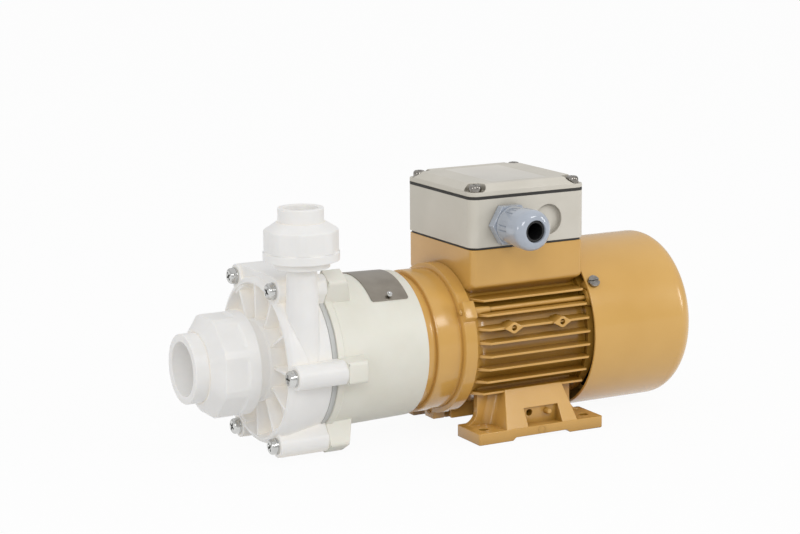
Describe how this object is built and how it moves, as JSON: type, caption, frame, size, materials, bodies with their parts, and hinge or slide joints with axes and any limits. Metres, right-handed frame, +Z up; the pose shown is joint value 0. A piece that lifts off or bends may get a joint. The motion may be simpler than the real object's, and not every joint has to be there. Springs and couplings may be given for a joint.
{
  "type": "magnetic drive pump",
  "caption": "Seal-less magnetic drive pump: ribbed plastic volute casing with union connections, lantern with magnet coupling and a finned foot-mounted electric motor with terminal box.",
  "frame": {"origin": "middle of the four foot holes, on the face that the feet stand on", "axes": "+X along the shaft from the suction union to the fan, -Y the side with the cable gland, +Z up"},
  "size_m": [0.3245, 0.132, 0.1539],
  "materials": {
    "natural_pp": "moulded natural polypropylene, slightly translucent",
    "cream_plastic": "moulded cream glass-filled plastic",
    "grey_plastic": "moulded grey plastic",
    "ochre_casting": "die-cast aluminium under ochre gloss paint",
    "ochre_sheet": "steel under ochre gloss paint",
    "box_plastic": "moulded warm grey plastic",
    "gland_plastic": "moulded light blue-grey polyamide",
    "black_rubber": "matt black rubber",
    "stainless": "bright stainless steel",
    "name_plate_steel": "brushed stainless sheet, bare",
    "machined_steel": "turned steel",
    "brass": "turned brass",
    "copper": "varnished copper wire",
    "laminations": "stacked electrical steel",
    "magnet": "sintered magnet",
    "ceramic": "ground alumina ceramic",
    "carbon": "carbon bearing sleeve",
    "black_plastic": "moulded black plastic"
  },
  "bodies": {
    "pump_body": {"suction_tailpiece": "natural_pp", "suction_o_ring": "black_rubber", "discharge_tailpiece": "natural_pp", "discharge_o_ring": "black_rubber", "pump_casing": "natural_pp", "casing_screws": "stainless", "casing_washers": "stainless", "casing_o_ring": "black_rubber", "containment_shell": "grey_plastic", "pump_shaft": "ceramic", "thrust_rings": "ceramic", "lantern": "cream_plastic", "lantern_inserts": "brass", "lantern_bolts": "stainless", "name_plate": "name_plate_steel", "plate_rivets": "stainless", "front_end_shield": "ochre_casting", "bearing_outer_rings": "machined_steel", "bearing_balls": "machined_steel", "wave_washer": "machined_steel", "motor_housing": "ochre_casting", "stator_core": "laminations", "stator_windings": "copper", "rear_end_shield": "ochre_casting", "tie_bolts": "ochre_sheet", "fan_cowl": "ochre_sheet", "cowl_screws": "stainless", "pedestal_gasket": "black_rubber", "terminal_box": "box_plastic", "box_screws": "stainless", "terminal_block": "black_plastic", "terminal_studs": "brass", "lid_gasket": "black_rubber", "terminal_box_lid": "box_plastic", "lid_screws": "stainless", "gland_body": "gland_plastic", "gland_seal": "black_rubber"},
    "motor_rotor": {"motor_shaft": "machined_steel", "shaft_key": "machined_steel", "rotor_core": "laminations", "bearing_inner_rings": "machined_steel", "fan": "black_plastic", "fan_clip": "machined_steel", "outer_magnet_carrier": "machined_steel", "drive_magnets": "magnet", "carrier_set_screw": "machined_steel"},
    "impeller_rotor": {"impeller": "natural_pp", "impeller_bush": "carbon", "inner_magnet": "magnet"},
    "suction_nut": {"suction_union_nut": "natural_pp"},
    "discharge_nut": {"discharge_union_nut": "natural_pp"},
    "gland_cap": {"gland_nut": "gland_plastic"}
  },
  "joints": [
    {"name": "motor_spin", "type": "hinge", "parent": "pump_body", "child": "motor_rotor", "pos_m": [0, 0, 0.056], "axis": [1, 0, 0], "continuous": true},
    {"name": "impeller_spin", "type": "hinge", "parent": "pump_body", "child": "impeller_rotor", "pos_m": [-0.14, 0, 0.056], "axis": [1, 0, 0], "continuous": true},
    {"name": "suction_nut_turn", "type": "hinge", "parent": "pump_body", "child": "suction_nut", "pos_m": [-0.185, 0, 0.056], "axis": [-1, 0, 0], "range_deg": [0, 1530]},
    {"name": "discharge_nut_turn", "type": "hinge", "parent": "pump_body", "child": "discharge_nut", "pos_m": [-0.1509, -0.0375, 0.13], "axis": [0, 0, 1], "range_deg": [0, 1350]},
    {"name": "gland_nut_turn", "type": "hinge", "parent": "pump_body", "child": "gland_cap", "pos_m": [-0.01595, -0.0575, 0.1297], "axis": [0, -1, 0], "range_deg": [0, 1170]}
  ],
  "couplings": [
    {"joint": "impeller_spin", "follows": "motor_spin", "ratio": 1}
  ]
}
